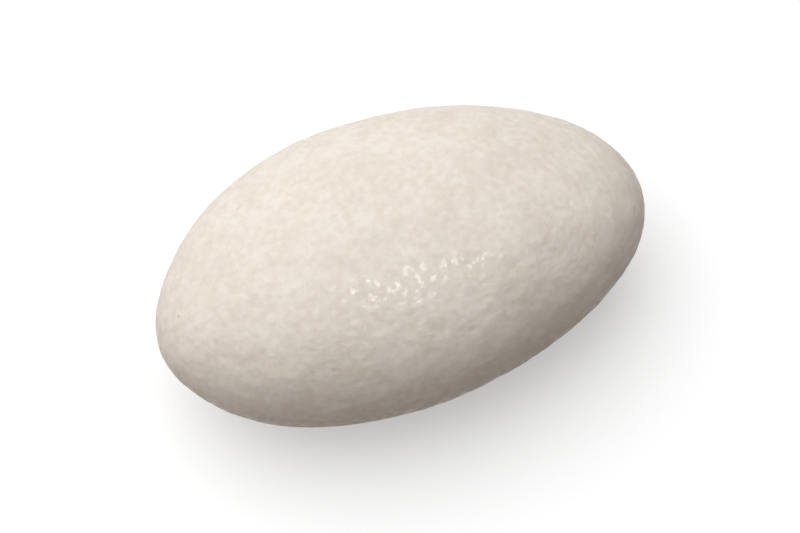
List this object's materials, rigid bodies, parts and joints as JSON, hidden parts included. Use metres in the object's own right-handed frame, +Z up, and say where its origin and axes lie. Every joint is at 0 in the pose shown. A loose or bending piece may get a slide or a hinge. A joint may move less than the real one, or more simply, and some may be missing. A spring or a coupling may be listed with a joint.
{
  "type": "sugared almond",
  "caption": "Whole almond in a smooth, hard, matt white sugar shell: a plump, slightly bowed oval with soft swells and a small flat spot to lie on.",
  "frame": {"origin": "on the ground, under the middle of the almond's length and width, as it lies on its broad side", "axes": "+X along the almond, from its blunt end to its narrower half; +Y across it, towards the fuller flank; +Z up, through its thickness"},
  "size_m": [0.03, 0.0184, 0.0124],
  "materials": {
    "sugar_shell": "satin"
  },
  "bodies": {
    "root": {"sugared_almond": "sugar_shell"}
  },
  "joints": []
}
